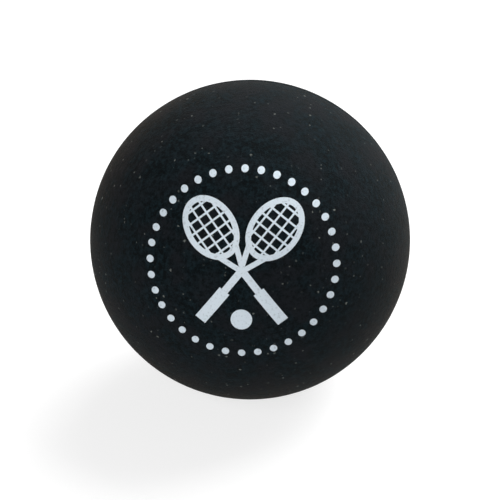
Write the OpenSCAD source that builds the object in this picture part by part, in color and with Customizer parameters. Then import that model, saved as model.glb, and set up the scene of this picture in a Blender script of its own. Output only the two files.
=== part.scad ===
// Squash ball: two moulded rubber half shells, cemented rim to rim round a hollow core of air,
// with a white emblem printed on the front pole and a speed dot on the back pole.
// Millimetres, +Z up, origin at the centre of the ball. The print faces -Y.

/* [Ball] */
// Outside diameter of the ball
ball_d = 40; // [36:0.1:44]
// Thickness of the rubber wall
wall = 5; // [3:0.1:8]
// Angle of the printed pole above the horizontal, in degrees, as the ball lies
lie_angle = 21; // [0:1:90]

/* [Seam] */
// Thickness of the cement between the two rims
bond_t = 0.2; // [0.1:0.05:0.6]
// Chamfer on the inner edge of each rim, which the cement fills
rim_chamfer = 0.5; // [0.2:0.1:1]
// Break on the outer edge of each rim, left by the buffing wheel
rim_break = 0.08; // [0.04:0.02:0.2]

/* [Print] */
// Thickness of the white ink
ink_t = 0.05; // [0.03:0.01:0.2]
// Radius of the border, a ring of dots
border_r = 11.3; // [10.5:0.1:13]
// Diameter of a border dot
border_dot_d = 0.9; // [0.4:0.1:1.5]
// Number of border dots
border_dots = 36; // [12:1:48]

/* [Rackets] */
// Length of a racket from its butt to its tip
racket_l = 18.5; // [15:0.5:19]
// Length of the racket's head
head_l = 8.2; // [6:0.1:9]
// Width of the racket's head
head_w = 6.2; // [4.5:0.1:6.6]
// Line width of the head's frame
frame_w = 0.7; // [0.3:0.05:1]
// Line width of a string
string_w = 0.24; // [0.15:0.01:0.4]
// Number of strings along the head
main_strings = 4; // [2:1:6]
// Number of strings across the head
cross_strings = 6; // [2:1:8]
// Length of the open throat below the head
throat_l = 2.2; // [1:0.1:3]
// Width of the shaft
shaft_w = 0.9; // [0.4:0.05:1.2]
// Length of the grip
grip_l = 4.8; // [3:0.1:5]
// Width of the grip
grip_w = 1.5; // [1.3:0.05:2]
// Angle of each racket from the upright, in degrees
cross_angle = 38; // [34:1:45]
// Height of the crossing point above the middle of the print
cross_y = -0.6; // [-2:0.1:1]
// Diameter of the small ball below the rackets
emblem_ball_d = 2.6; // [1:0.1:3]
// Depth of the small ball below the crossing point
emblem_ball_drop = 6.2; // [5.5:0.1:7]

/* [Speed dot] */
// Diameter of the speed dot
dot_d = 4.7; // [2:0.1:8]
// Thickness of the speed dot's ink
dot_t = 0.05; // [0.03:0.01:0.2]

/* [Hidden] */
$fn = 96;
// Number of points round an oval
oval_steps = 48;
// Share of a racket's length at which the two rackets cross, from the butt
crossing_share = 0.44;
// Half the throat's width where it meets the head, as a share of the head's width
throat_share = 0.3;
// Overrun of every cut past the faces it goes through
overrun = 1;

ball_r = ball_d / 2;
cavity_r = ball_r - wall;
rim_z = bond_t / 2;
// The inner chamfer ends where it meets the cavity's round wall
chamfer_top_z = rim_z + rim_chamfer;
chamfer_top_r = sqrt(pow(cavity_r, 2) - pow(chamfer_top_z, 2));
chamfer_foot_r = cavity_r + rim_chamfer;
// The outer break starts on the ball's skin and ends on the rim
break_top_z = rim_z + rim_break;
break_top_r = sqrt(pow(ball_r, 2) - pow(break_top_z, 2));
break_foot_r = ball_r - rim_break;

// Everything below is drawn with the printed pole up, then laid down as the ball lies.
module lie() {
    rotate([90 - lie_angle, 0, 0])
        children();
}

// Section of one rim's wall, from its inner chamfer to its outer break, above the seam
module half_section() {
    difference() {
        intersection() {
            difference() {
                circle(ball_r);
                circle(cavity_r);
            }
            translate([0, rim_z])
                square([ball_r + overrun, ball_r + overrun]);
        }
        polygon([
            [chamfer_top_r - overrun, chamfer_top_z],
            [chamfer_top_r, chamfer_top_z],
            [chamfer_foot_r, rim_z],
            [chamfer_foot_r, 0],
            [chamfer_top_r - overrun, 0]
        ]);
        polygon([
            [break_top_r + overrun, break_top_z],
            [break_top_r, break_top_z],
            [break_foot_r, rim_z],
            [break_foot_r, 0],
            [break_top_r + overrun, 0]
        ]);
    }
}

module half_shell() {
    rotate_extrude()
        half_section();
}

module front_half_shell() {
    color("#23272a")
        lie()
            half_shell();
}

module back_half_shell() {
    color("#23272a")
        lie()
            mirror([0, 0, 1])
                half_shell();
}

// The cement fills the gap and both inner chamfers, with a round bead squeezed into the cavity.
module seam_bond() {
    color("#2e2f2d")
        lie()
            rotate_extrude() {
                polygon([
                    [break_foot_r, rim_z],
                    [chamfer_foot_r, rim_z],
                    [chamfer_top_r, chamfer_top_z],
                    [chamfer_top_r, -chamfer_top_z],
                    [chamfer_foot_r, -rim_z],
                    [break_foot_r, -rim_z]
                ]);
                intersection() {
                    translate([chamfer_top_r, 0])
                        circle(chamfer_top_z);
                    translate([chamfer_top_r - chamfer_top_z, -chamfer_top_z])
                        square([chamfer_top_z, 2 * chamfer_top_z]);
                }
            }
}

module oval(l, w) {
    polygon([
        for (i = [0 : oval_steps - 1])
            [w / 2 * cos(i * 360 / oval_steps), l / 2 * sin(i * 360 / oval_steps)]
    ]);
}

module strings() {
    for (i = [1 : main_strings])
        translate([head_w * (i / (main_strings + 1) - 1 / 2) - string_w / 2, -head_l / 2])
            square([string_w, head_l]);
    for (i = [1 : cross_strings])
        translate([-head_w / 2, head_l * (i / (cross_strings + 1) - 1 / 2) - string_w / 2])
            square([head_w, string_w]);
}

// Grip, shaft and the two arms of the throat, which end in the middle of the head's frame
module handle() {
    arm_x = head_w * throat_share;
    arm_drop = (head_l - frame_w) / 2 * sqrt(1 - pow(2 * arm_x / (head_w - frame_w), 2));
    arm_y = racket_l - head_l / 2 - arm_drop;
    throat_y = racket_l - head_l - throat_l;
    arm_slope = (arm_y - throat_y) / (arm_x - shaft_w / 2);
    polygon([
        [grip_w / 2, 0],
        [grip_w / 2, grip_l],
        [shaft_w / 2, grip_l],
        [shaft_w / 2, throat_y],
        [arm_x, arm_y],
        [arm_x - frame_w, arm_y],
        [0, throat_y + (frame_w - shaft_w / 2) * arm_slope],
        [frame_w - arm_x, arm_y],
        [-arm_x, arm_y],
        [-shaft_w / 2, throat_y],
        [-shaft_w / 2, grip_l],
        [-grip_w / 2, grip_l],
        [-grip_w / 2, 0]
    ]);
}

// One racket, upright, with its butt at the origin
module racket() {
    translate([0, racket_l - head_l / 2]) {
        difference() {
            oval(head_l, head_w);
            oval(head_l - 2 * frame_w, head_w - 2 * frame_w);
        }
        intersection() {
            oval(head_l - frame_w, head_w - frame_w);
            strings();
        }
    }
    handle();
}

module emblem() {
    translate([0, cross_y]) {
        for (side = [-1, 1])
            rotate(side * cross_angle)
                translate([0, -racket_l * crossing_share])
                    racket();
        translate([0, -emblem_ball_drop])
            circle(d = emblem_ball_d);
    }
    for (i = [0 : border_dots - 1])
        rotate(i * 360 / border_dots)
            translate([0, border_r])
                circle(d = border_dot_d);
}

// Film of ink on the ball's skin, wherever the flat drawing falls on it along the pole's axis
module ink_film(t) {
    intersection() {
        difference() {
            sphere(ball_r + t);
            sphere(ball_r);
        }
        linear_extrude(ball_r + overrun)
            children();
    }
}

module front_print() {
    color("#d3dde4")
        lie()
            ink_film(ink_t)
                emblem();
}

module speed_dot() {
    color("#e8b61c")
        lie()
            mirror([0, 0, 1])
                ink_film(dot_t)
                    circle(d = dot_d);
}

front_half_shell();
back_half_shell();
seam_bond();
front_print();
speed_dot();
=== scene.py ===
"""A squash ball: two buffed rubber half shells, their cemented seam, a white emblem and a yellow speed dot.

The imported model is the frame. Each piece here is modelled in its place, rides on the one body and stands for
the node of the same kind, with the fine relief and the finish that the plain solids leave out.
"""
import math

import bmesh
import bpy
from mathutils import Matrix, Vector


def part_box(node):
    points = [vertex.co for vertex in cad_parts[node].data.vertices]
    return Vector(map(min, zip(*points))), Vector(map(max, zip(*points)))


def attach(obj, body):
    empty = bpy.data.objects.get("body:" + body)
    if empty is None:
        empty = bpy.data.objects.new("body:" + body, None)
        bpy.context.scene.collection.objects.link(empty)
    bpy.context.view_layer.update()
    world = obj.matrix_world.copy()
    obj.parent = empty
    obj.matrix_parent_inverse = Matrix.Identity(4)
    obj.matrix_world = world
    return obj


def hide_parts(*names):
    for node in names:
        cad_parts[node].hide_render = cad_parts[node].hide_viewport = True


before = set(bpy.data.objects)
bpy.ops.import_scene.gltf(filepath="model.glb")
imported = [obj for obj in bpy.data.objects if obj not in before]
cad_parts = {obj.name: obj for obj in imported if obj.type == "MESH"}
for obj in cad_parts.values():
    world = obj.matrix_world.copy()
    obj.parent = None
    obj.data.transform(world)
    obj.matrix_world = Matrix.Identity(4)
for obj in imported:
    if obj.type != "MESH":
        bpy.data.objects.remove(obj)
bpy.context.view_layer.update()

MM = 0.001
BODY = "root"

# Sizes of the ball, as in the part's source
ball_low, ball_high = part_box("front_half_shell")
BALL_R = (ball_high.x - ball_low.x) / 2
WALL = 5 * MM
BOND_T = 0.2 * MM
RIM_CHAMFER = 0.5 * MM
RIM_BREAK = 0.08 * MM
LIE_ANGLE = math.radians(21)
CAVITY_R = BALL_R - WALL
RIM_Z = BOND_T / 2
CHAMFER_TOP_Z = RIM_Z + RIM_CHAMFER
CHAMFER_TOP_R = math.sqrt(CAVITY_R**2 - CHAMFER_TOP_Z**2)
CHAMFER_FOOT_R = CAVITY_R + RIM_CHAMFER
BREAK_TOP_Z = RIM_Z + RIM_BREAK
BREAK_TOP_R = math.sqrt(BALL_R**2 - BREAK_TOP_Z**2)
BREAK_FOOT_R = BALL_R - RIM_BREAK

# The printed pole's direction, and its turn from straight up
POLE = Vector((0, -math.cos(LIE_ANGLE), math.sin(LIE_ANGLE)))
FRONT_TURN = math.pi / 2 - LIE_ANGLE
BACK_TURN = FRONT_TURN + math.pi

# Subdivision levels of the spheres that the skin and the cavity are cut from
SKIN_LEVELS = 8
CAVITY_LEVELS = 6
# Height of the band that joins the chamfer's edge to the cut cavity
CAVITY_BAND = 0.3 * MM
CAVITY_EDGE_Z = CHAMFER_TOP_Z + CAVITY_BAND
# Steps round the seam, and round its bead's half circle
SEAM_STEPS = 720
BEAD_STEPS = 8

# Relief of the skin, all of it below the ball's full radius: (size of its features, depth)
BUFFING_WAVES = (5 * MM, 0.025 * MM)
BUFFING_GRAIN = (0.6 * MM, 0.02 * MM)
RELIEF_DETAIL = 2

# Ink stands this high on the skin, and reaches this deep into its pores
INK_T = 0.035 * MM
INK_BITE = 0.01 * MM
# Angle from the pole to the edge of the film that each drawing is cut from
PRINT_CAP = math.radians(38)
DOT_CAP = math.radians(9)
# How far the flat drawing is stretched both ways before it cuts the ink
CUT_REACH = 0.4 * MM
# Corners closer than this are merged
MERGE = 0.0005 * MM
# Edges sharper than this stay crisp
EDGE_ANGLE = math.radians(30)


# Modelling

def only(piece):
    """Makes one object the active and the only selected one."""
    bpy.ops.object.select_all(action="DESELECT")
    piece.select_set(True)
    bpy.context.view_layer.objects.active = piece


def edit(piece):
    """Enters edit mode on one object, with nothing in it selected."""
    only(piece)
    bpy.ops.object.mode_set(mode="EDIT")
    bpy.ops.mesh.select_mode(type="VERT")
    bpy.ops.mesh.select_all(action="DESELECT")


def done():
    """Leaves edit mode."""
    bpy.ops.object.mode_set(mode="OBJECT")


def named(name):
    """Names the object that an operator has just added, and its mesh."""
    piece = bpy.context.object
    piece.name = name
    piece.data.name = name
    return piece


def select_edges_of_holes():
    """Selects the open edges of the mesh in edit mode."""
    bpy.ops.mesh.select_non_manifold(
        extend=False, use_wire=False, use_boundary=True,
        use_multi_face=False, use_non_contiguous=False, use_verts=False,
    )


def select_where(piece, test):
    """Selects the vertices whose place passes a test, in edit mode."""
    shape = bmesh.from_edit_mesh(piece.data)
    for vertex in shape.verts:
        vertex.select = test(vertex.co)
    shape.select_flush_mode()
    bmesh.update_edit_mesh(piece.data)


def extrude_rings(start, section):
    """Extrudes the selected ring, which lies round the Z axis, through each (radius, height) of a section."""
    ring_r, ring_z = start
    for r, z in section:
        bpy.ops.mesh.extrude_edges_indiv()
        bpy.ops.transform.resize(value=(r / ring_r, r / ring_r, 1), center_override=(0, 0, 0))
        bpy.ops.transform.translate(value=(0, 0, z - ring_z))
        ring_r, ring_z = r, z


def modify(piece, kind, **settings):
    """Adds a modifier to a piece and applies it."""
    only(piece)
    modifier = piece.modifiers.new(kind, kind)
    for name, value in settings.items():
        setattr(modifier, name, value)
    bpy.ops.object.modifier_apply(modifier=modifier.name)


def dome(name, radius, cut_z, levels):
    """The part of a fine round skin that lies above a level cut."""
    bpy.ops.object.select_all(action="DESELECT")
    bpy.ops.mesh.primitive_ico_sphere_add(subdivisions=levels, radius=radius)
    piece = named(name)
    edit(piece)
    bpy.ops.mesh.select_all(action="SELECT")
    bpy.ops.mesh.bisect(plane_co=(0, 0, cut_z), plane_no=(0, 0, 1), clear_inner=True)
    done()
    return piece


def lay(piece, turn):
    """Turns a piece that was modelled with its pole up to where it lies in the frame."""
    only(piece)
    piece.rotation_euler = (turn, 0, 0)
    bpy.ops.object.transform_apply(location=True, rotation=True, scale=True)


def roughen(piece, group=""):
    """Sinks the skin, or one vertex group of it, by the waves and the grain that the buffing wheel leaves."""
    for name, (size, depth) in {"buffing_waves": BUFFING_WAVES, "buffing_grain": BUFFING_GRAIN}.items():
        texture = bpy.data.textures.get(name) or bpy.data.textures.new(name, "CLOUDS")
        texture.noise_scale = size
        texture.noise_depth = RELIEF_DETAIL
        modify(
            piece, "DISPLACE", texture=texture, texture_coords="LOCAL",
            strength=depth, mid_level=1, vertex_group=group,
        )


def half_shell(name, turn):
    """One moulded half: its skin, its broken and chamfered rim and its cavity wall, closed all round."""
    shell = dome(name, BALL_R, BREAK_TOP_Z, SKIN_LEVELS)
    edit(shell)
    bpy.ops.mesh.select_all(action="SELECT")
    bpy.ops.object.vertex_group_add()
    bpy.ops.object.vertex_group_assign()
    shell.vertex_groups[0].name = "skin"
    select_edges_of_holes()
    bpy.ops.object.vertex_group_remove_from()
    rim = [
        (BREAK_FOOT_R, RIM_Z),
        (CHAMFER_FOOT_R, RIM_Z),
        (CHAMFER_TOP_R, CHAMFER_TOP_Z),
    ]
    extrude_rings((BREAK_TOP_R, BREAK_TOP_Z), rim)
    done()
    cavity = dome("cavity", CAVITY_R, CAVITY_EDGE_Z, CAVITY_LEVELS)
    only(shell)
    cavity.select_set(True)
    bpy.ops.object.join()
    edit(shell)
    select_edges_of_holes()
    bpy.ops.mesh.bridge_edge_loops()
    bpy.ops.mesh.select_all(action="SELECT")
    bpy.ops.mesh.normals_make_consistent(inside=False)
    done()
    lay(shell, turn)
    roughen(shell, "skin")
    return shell


def seam_ring(name):
    """The cement between the rims, with its wedges in both chamfers and its round bead in the cavity."""
    bead = [
        (
            CHAMFER_TOP_R - CHAMFER_TOP_Z * math.sin(math.pi * i / BEAD_STEPS),
            CHAMFER_TOP_Z * math.cos(math.pi * i / BEAD_STEPS),
        )
        for i in range(BEAD_STEPS + 1)
    ]
    outline = [
        (BREAK_FOOT_R, RIM_Z),
        (CHAMFER_FOOT_R, RIM_Z),
        *bead,
        (CHAMFER_FOOT_R, -RIM_Z),
        (BREAK_FOOT_R, -RIM_Z),
    ]
    bpy.ops.object.select_all(action="DESELECT")
    bpy.ops.mesh.primitive_circle_add(vertices=SEAM_STEPS, radius=BREAK_FOOT_R, location=(0, 0, -RIM_Z))
    ring = named(name)
    lay(ring, 0)
    edit(ring)
    bpy.ops.mesh.select_all(action="SELECT")
    extrude_rings((BREAK_FOOT_R, -RIM_Z), outline)
    bpy.ops.mesh.select_all(action="SELECT")
    bpy.ops.mesh.remove_doubles(threshold=MERGE)
    bpy.ops.mesh.normals_make_consistent(inside=False)
    done()
    lay(ring, FRONT_TURN)
    return ring


def flat_drawing(node):
    """A copy of an ink node, stretched both ways along the pole's axis into straight prisms."""
    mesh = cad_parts[node].data.copy()
    prisms = bpy.data.objects.new("drawing", mesh)
    bpy.context.scene.collection.objects.link(prisms)
    edit(prisms)
    bpy.ops.mesh.select_all(action="SELECT")
    bpy.ops.mesh.remove_doubles(threshold=MERGE)
    out = POLE if node == "front_print" else -POLE
    middle = (BALL_R + max(v.co.length for v in mesh.vertices)) / 2
    for side in (1, -1):
        bpy.ops.mesh.select_all(action="DESELECT")
        select_where(prisms, lambda place: (place.length - middle) * side > 0)
        bpy.ops.transform.translate(value=out * CUT_REACH * side)
    done()
    return prisms


def ink(name, node, turn, cap):
    """A film of ink that follows the skin's relief, cut to the outlines of an ink node."""
    film = dome(name, BALL_R, BALL_R * math.cos(cap), SKIN_LEVELS)
    lay(film, turn)
    roughen(film)
    thickness = INK_T + INK_BITE
    modify(film, "SOLIDIFY", thickness=thickness, offset=(INK_T - INK_BITE) / thickness)
    prisms = flat_drawing(node)
    modify(film, "BOOLEAN", operation="INTERSECT", solver="EXACT", object=prisms)
    bpy.data.objects.remove(prisms)
    return film


# Materials

# Inputs and output of a Mix node that mixes colours
FACTOR, COLOUR_A, COLOUR_B, MIXED = 0, 6, 7, 2

# Buffed rubber: its darkest and lightest tone, the tint of its browner patches, and the dust in its nap
RUBBER_DARK = "#010203"
RUBBER_LIGHT = "#172328"
RUBBER_BROWN = "#ffc8c6"
RUBBER_DUST = "#7f837e"
# Cured cement is the same compound, a little paler and browner
CEMENT_DARK = "#13181a"
CEMENT_LIGHT = "#212a2c"
CEMENT_DUST = "#6d6c66"
# Patches where the wheel bit more or less, how much they count beside the grain, and the noise values
# where their brown starts and is full
PATCH_SIZE = 3.5 * MM
PATCH_DETAIL = 3
PATCH_SHARE = 0.4
BROWN_SPAN = (0.4, 0.6)
# The grit leaves a grain finer than 0.1 mm, which is drawn this coarse so that it shows as mottling
GRAIN_SIZE = 0.6 * MM
GRAIN_DETAIL = 4
GRAIN_BITE = 0.8
GRAIN_RELIEF = 0.1 * MM
# Sums of the grain and the patches at which the tone is darkest and lightest
MOTTLE_SPAN = (0.58, 0.82)
# Torn nap between the grains, a few hundredths of a millimetre wide, is drawn coarser so that it shows
NAP_SIZE = 0.15 * MM
NAP_DETAIL = 2
NAP_RELIEF = 0.03 * MM
# Each cell of this size may hold a speck of dust: the share that does, how faint most are, the radius of
# the largest, its soft edge, the size of the smallest as a share of that, and its outline's raggedness
DUST_SPACING = 0.85 * MM
DUST_SHARE = 0.7
DUST_SKEW = 4
DUST_CORE_R = 0.06 * MM
DUST_EDGE_R = 0.2 * MM
DUST_LEAST = 0.6
DUST_RAG_SIZE = 0.2 * MM
DUST_RAG = 0.35 * MM
# The nap scatters most of the gloss that rubber of this IOR has, so its specular level is far below 0.5,
# and what is left is slightly blue
RUBBER_IOR = 1.5
RUBBER_SHINE = 0.12
RUBBER_TINT = "#d4f6ff"
# Roughness in the hollows and on the crests of the grain, and the noise values that stand for them
RUBBER_ROUGH = (0.82, 1.0)
ROUGH_SPAN = (0.3, 0.7)
# The nap and the dust in it catch a little warm light at a grazing angle
NAP_SHEEN = 0.03
NAP_SHEEN_TINT = "#ffcf9a"
NAP_SHEEN_ROUGH = 0.3

# Ink: its full colour, and its colour where it lies thin on the grain
WHITE_FULL = "#d3dfe8"
WHITE_THIN = "#8f9aa2"
YELLOW_FULL = "#f2b90f"
YELLOW_THIN = "#b48d1c"
# Thin spots, drawn coarser than the grain under them, and the noise values where they start and are full
THIN_SIZE = 0.35 * MM
THIN_DETAIL = 4
THIN_BITE = 0.6
THIN_SPAN = (0.55, 0.8)
THIN_RELIEF = 0.015 * MM
INK_IOR = 1.5
INK_ROUGH = 0.5


def linear(code):
    """An sRGB hex colour as linear red, green, blue and alpha."""
    parts = [int(code[i:i + 2], 16) / 255 for i in (1, 3, 5)]
    return (*[c / 12.92 if c <= 0.04045 else ((c + 0.055) / 1.055) ** 2.4 for c in parts], 1)


def add(tree, kind, inputs, **settings):
    """Adds a node with its settings, and gives each input a value or a link from another node's output."""
    node = tree.nodes.new(kind)
    for name, value in settings.items():
        setattr(node, name, value)
    for key, value in inputs.items():
        if isinstance(value, bpy.types.NodeSocket):
            tree.links.new(value, node.inputs[key])
        else:
            node.inputs[key].default_value = value
    return node


def blank(name):
    """An empty material, its tree and the object coordinates that its patterns read."""
    material = bpy.data.materials.new(name)
    material.use_nodes = True
    tree = material.node_tree
    tree.nodes.clear()
    place = add(tree, "ShaderNodeTexCoord", {}).outputs["Object"]
    return material, tree, place


def mottled(tree, place, grain, dark, light):
    """A near-black that the grain mottles, browner in patches."""
    patches = add(
        tree, "ShaderNodeTexNoise",
        {"Vector": place, "Scale": 1 / PATCH_SIZE, "Detail": PATCH_DETAIL},
    ).outputs[0]
    shade = add(tree, "ShaderNodeMath", {0: patches, 1: PATCH_SHARE, 2: grain}, operation="MULTIPLY_ADD")
    tone = add(
        tree, "ShaderNodeMapRange",
        {"Value": shade.outputs[0], "From Min": MOTTLE_SPAN[0], "From Max": MOTTLE_SPAN[1]},
    )
    black = add(
        tree, "ShaderNodeMix",
        {FACTOR: tone.outputs[0], COLOUR_A: linear(dark), COLOUR_B: linear(light)},
        data_type="RGBA",
    )
    warmth = add(
        tree, "ShaderNodeMapRange",
        {"Value": patches, "From Min": BROWN_SPAN[0], "From Max": BROWN_SPAN[1]},
    )
    return add(
        tree, "ShaderNodeMix",
        {FACTOR: warmth.outputs[0], COLOUR_A: black.outputs[MIXED], COLOUR_B: linear(RUBBER_BROWN)},
        data_type="RGBA", blend_type="MULTIPLY",
    ).outputs[MIXED]


def dust_mask(tree, place):
    """Rubber dust and talc caught in the nap, as ragged specks of many sizes and strengths."""
    rag = add(tree, "ShaderNodeTexNoise", {"Vector": place, "Scale": 1 / DUST_RAG_SIZE})
    ragged = add(
        tree, "ShaderNodeVectorMath",
        {0: rag.outputs["Color"], 1: [DUST_RAG] * 3, 2: place},
        operation="MULTIPLY_ADD",
    )
    cells = add(tree, "ShaderNodeTexVoronoi", {"Vector": ragged.outputs[0], "Scale": 1 / DUST_SPACING})
    draw = add(tree, "ShaderNodeSeparateColor", {0: cells.outputs["Color"]})
    size = add(tree, "ShaderNodeMapRange", {"Value": draw.outputs[1], "To Min": DUST_LEAST})
    reach = add(
        tree, "ShaderNodeMath",
        {0: cells.outputs["Distance"], 1: size.outputs[0]},
        operation="DIVIDE",
    )
    core = add(
        tree, "ShaderNodeMapRange",
        {
            "Value": reach.outputs[0],
            "From Min": DUST_EDGE_R / DUST_SPACING, "From Max": DUST_CORE_R / DUST_SPACING,
        },
    )
    kept = add(tree, "ShaderNodeMapRange", {"Value": draw.outputs[0], "From Min": 1 - DUST_SHARE})
    strength = add(tree, "ShaderNodeMath", {0: kept.outputs[0], 1: DUST_SKEW}, operation="POWER")
    return add(
        tree, "ShaderNodeMath",
        {0: core.outputs[0], 1: strength.outputs[0]},
        operation="MULTIPLY",
    ).outputs[0]


def torn_nap(tree, place, grain):
    """The normal of a surface that the grit has scored and torn."""
    scored = add(tree, "ShaderNodeBump", {"Height": grain, "Distance": GRAIN_RELIEF})
    nap = add(
        tree, "ShaderNodeTexNoise",
        {"Vector": place, "Scale": 1 / NAP_SIZE, "Detail": NAP_DETAIL},
    )
    return add(
        tree, "ShaderNodeBump",
        {"Height": nap.outputs[0], "Distance": NAP_RELIEF, "Normal": scored.outputs[0]},
    ).outputs[0]


def buffed_rubber(name, dark, light, dust):
    """Carbon-black filled rubber, moulded and buffed: the torn nap makes it a velvety, mottled near-black."""
    material, tree, place = blank(name)
    grain = add(
        tree, "ShaderNodeTexNoise",
        {"Vector": place, "Scale": 1 / GRAIN_SIZE, "Detail": GRAIN_DETAIL, "Roughness": GRAIN_BITE},
    ).outputs[0]
    colour = add(
        tree, "ShaderNodeMix",
        {
            FACTOR: dust_mask(tree, place),
            COLOUR_A: mottled(tree, place, grain, dark, light),
            COLOUR_B: linear(dust),
        },
        data_type="RGBA",
    )
    rough = add(
        tree, "ShaderNodeMapRange",
        {
            "Value": grain, "From Min": ROUGH_SPAN[0], "From Max": ROUGH_SPAN[1],
            "To Min": RUBBER_ROUGH[0], "To Max": RUBBER_ROUGH[1],
        },
    )
    shader = add(
        tree, "ShaderNodeBsdfPrincipled",
        {
            "Base Color": colour.outputs[MIXED],
            "Roughness": rough.outputs[0],
            "IOR": RUBBER_IOR,
            "Specular IOR Level": RUBBER_SHINE,
            "Specular Tint": linear(RUBBER_TINT),
            "Sheen Weight": NAP_SHEEN,
            "Sheen Tint": linear(NAP_SHEEN_TINT),
            "Sheen Roughness": NAP_SHEEN_ROUGH,
            "Normal": torn_nap(tree, place, grain),
        },
    )
    add(tree, "ShaderNodeOutputMaterial", {"Surface": shader.outputs[0]})
    return material


def pad_ink(name, full, thin):
    """Flexible pad-printing ink: an opaque matt film that the rubber's grain speckles where it lies thin."""
    material, tree, place = blank(name)
    grain = add(
        tree, "ShaderNodeTexNoise",
        {"Vector": place, "Scale": 1 / THIN_SIZE, "Detail": THIN_DETAIL, "Roughness": THIN_BITE},
    ).outputs[0]
    thinness = add(
        tree, "ShaderNodeMapRange",
        {"Value": grain, "From Min": THIN_SPAN[0], "From Max": THIN_SPAN[1]},
    )
    colour = add(
        tree, "ShaderNodeMix",
        {FACTOR: thinness.outputs[0], COLOUR_A: linear(full), COLOUR_B: linear(thin)},
        data_type="RGBA",
    )
    bump = add(tree, "ShaderNodeBump", {"Height": grain, "Distance": THIN_RELIEF})
    shader = add(
        tree, "ShaderNodeBsdfPrincipled",
        {
            "Base Color": colour.outputs[MIXED],
            "Roughness": INK_ROUGH,
            "IOR": INK_IOR,
            "Normal": bump.outputs[0],
        },
    )
    add(tree, "ShaderNodeOutputMaterial", {"Surface": shader.outputs[0]})
    return material


# Stage: a white floor, white surroundings, two soft lamps and the camera

# The surroundings light the ball as a dome: its brightest way, and its level on the side away from that
DOME_WAY = Vector((0.5, 0.3, 0.85))
DOME_DIM = 0.03
# The dome's level on matt surfaces, as a share of the level at which reflections show it
DOME_LIGHT = 0.2
# Softboxes: the way to each from the ball, its power in watts and its width in metres
KEY_WAY = Vector((0.45, 0.55, 0.72))
KEY_POWER = 18.5
FILL_WAY = Vector((-0.35, -0.88, 0.36))
FILL_POWER = 8.2
SOFTBOX_SIZE = 0.9
LAMP_DISTANCE = 1
# The floor's width, its own colour, its glow for the eye, and where it starts and ends turning white
FLOOR_SIZE = 6
FLOOR_PAPER = "#a8a8a8"
FLOOR_GLOW = 0.74
FLOOR_FADE = (60 * MM, 160 * MM)
# The camera: its sensor's width in millimetres, its place in degrees round and above the ball, its
# distance, the share of the frame that the ball fills, and the height that it aims at
SENSOR = 36
CAMERA_ANGLES = (3, 30)
CAMERA_DISTANCE = 500 * MM
BALL_SHARE = 0.64
AIM_Z = -1.5 * MM
CAMERA_LENS = SENSOR * BALL_SHARE * CAMERA_DISTANCE / (2 * BALL_R)


def seen(tree):
    """1 on rays that show the background to the eye: straight, in a reflection or through glass."""
    path = add(tree, "ShaderNodeLightPath", {})
    mirrored = add(
        tree, "ShaderNodeMath",
        {0: path.outputs["Is Camera Ray"], 1: path.outputs["Is Glossy Ray"]},
        operation="MAXIMUM",
    )
    return add(
        tree, "ShaderNodeMath",
        {0: mirrored.outputs[0], 1: path.outputs["Is Transmission Ray"]},
        operation="MAXIMUM",
    ).outputs[0]


def surroundings():
    """Plain white to the camera, and to the ball a soft dome of light, brightest above and behind it."""
    world = bpy.data.worlds.new("white_studio")
    world.use_nodes = True
    bpy.context.scene.world = world
    tree = world.node_tree
    tree.nodes.clear()
    way = add(tree, "ShaderNodeTexCoord", {}).outputs["Generated"]
    facing = add(tree, "ShaderNodeVectorMath", {0: way, 1: DOME_WAY.normalized()}, operation="DOT_PRODUCT")
    shade = add(
        tree, "ShaderNodeMapRange",
        {"Value": facing.outputs["Value"], "To Min": DOME_DIM},
        interpolation_type="SMOOTHSTEP",
    )
    level = add(tree, "ShaderNodeMapRange", {"Value": seen(tree), "To Min": DOME_LIGHT})
    lit = add(tree, "ShaderNodeMath", {0: shade.outputs[0], 1: level.outputs[0]}, operation="MULTIPLY")
    path = add(tree, "ShaderNodeLightPath", {})
    strength = add(
        tree, "ShaderNodeMapRange",
        {"Value": path.outputs["Is Camera Ray"], "To Min": lit.outputs[0]},
    )
    light = add(tree, "ShaderNodeBackground", {"Color": linear("#ffffff"), "Strength": strength.outputs[0]})
    add(tree, "ShaderNodeOutputWorld", {"Surface": light.outputs[0]})


def white_floor():
    """Matt paper that glows up to white, keeps the ball's shadow near it and is plain white further out."""
    bpy.ops.object.select_all(action="DESELECT")
    bpy.ops.mesh.primitive_plane_add(size=FLOOR_SIZE, location=(0, 0, -BALL_R))
    floor = named("studio_floor")
    material, tree, place = blank("matt_white_paper")
    eye = seen(tree)
    paper = add(tree, "ShaderNodeBsdfDiffuse", {"Color": linear(FLOOR_PAPER)})
    glow_level = add(tree, "ShaderNodeMath", {0: eye, 1: FLOOR_GLOW}, operation="MULTIPLY")
    glow = add(tree, "ShaderNodeEmission", {"Strength": glow_level.outputs[0]})
    near = add(tree, "ShaderNodeAddShader", {0: paper.outputs[0], 1: glow.outputs[0]})
    distance = add(tree, "ShaderNodeVectorMath", {0: place}, operation="LENGTH")
    fade = add(
        tree, "ShaderNodeMapRange",
        {"Value": distance.outputs["Value"], "From Min": FLOOR_FADE[0], "From Max": FLOOR_FADE[1]},
    )
    far = add(tree, "ShaderNodeMath", {0: eye, 1: fade.outputs[0]}, operation="MULTIPLY")
    white = add(tree, "ShaderNodeEmission", {"Strength": 1})
    blend = add(tree, "ShaderNodeMixShader", {0: far.outputs[0], 1: near.outputs[0], 2: white.outputs[0]})
    add(tree, "ShaderNodeOutputMaterial", {"Surface": blend.outputs[0]})
    floor.data.materials.append(material)


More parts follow.
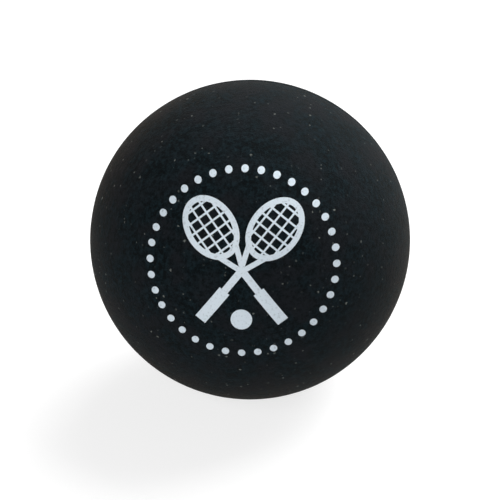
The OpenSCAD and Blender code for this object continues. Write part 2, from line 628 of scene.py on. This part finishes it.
def softbox(name, way, power):
    """A square softbox that faces the ball."""
    light = bpy.data.lights.new(name, "AREA")
    light.shape = "SQUARE"
    light.size = SOFTBOX_SIZE
    light.energy = power
    box = bpy.data.objects.new(name, light)
    box.location = way.normalized() * LAMP_DISTANCE
    box.rotation_euler = (-way).to_track_quat("-Z", "Y").to_euler()
    bpy.context.scene.collection.objects.link(box)


def camera():
    """A camera at the photograph's angle and distance. Its lens makes the ball fill most of the frame."""
    azimuth, elevation = (math.radians(a) for a in CAMERA_ANGLES)
    back = Vector((
        math.sin(azimuth) * math.cos(elevation),
        -math.cos(azimuth) * math.cos(elevation),
        math.sin(elevation),
    ))
    lens = bpy.data.cameras.new("camera")
    lens.lens = CAMERA_LENS
    lens.sensor_width = SENSOR
    eye = bpy.data.objects.new("camera", lens)
    eye.location = back * CAMERA_DISTANCE
    aim = Vector((0, 0, AIM_Z)) - eye.location
    eye.rotation_euler = aim.to_track_quat("-Z", "Y").to_euler()
    bpy.context.scene.collection.objects.link(eye)
    bpy.context.scene.camera = eye


# The scene

bpy.context.scene.view_settings.view_transform = "Standard"
camera()
surroundings()
white_floor()
softbox("key_softbox", KEY_WAY, KEY_POWER)
softbox("fill_softbox", FILL_WAY, FILL_POWER)

rubber = buffed_rubber("buffed_black_rubber", RUBBER_DARK, RUBBER_LIGHT, RUBBER_DUST)
cement = buffed_rubber("cured_rubber_cement", CEMENT_DARK, CEMENT_LIGHT, CEMENT_DUST)
white = pad_ink("white_pad_ink", WHITE_FULL, WHITE_THIN)
yellow = pad_ink("yellow_pad_ink", YELLOW_FULL, YELLOW_THIN)

# Each piece, the node that it stands for, that node's slot and its material
PIECES = (
    (half_shell("front_half", FRONT_TURN), "front_half_shell", "rubber", rubber),
    (half_shell("back_half", BACK_TURN), "back_half_shell", "rubber", rubber),
    (seam_ring("seam_cement"), "seam_bond", "rubber_cement", cement),
    (ink("emblem_ink", "front_print", FRONT_TURN, PRINT_CAP), "front_print", "white_ink", white),
    (ink("dot_ink", "speed_dot", BACK_TURN, DOT_CAP), "speed_dot", "yellow_ink", yellow),
)
for piece, node, slot, material in PIECES:
    only(piece)
    bpy.ops.object.shade_smooth_by_angle(angle=EDGE_ANGLE)
    piece.data.materials.clear()
    piece.data.materials.append(material)
    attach(piece, BODY)
    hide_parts(node)
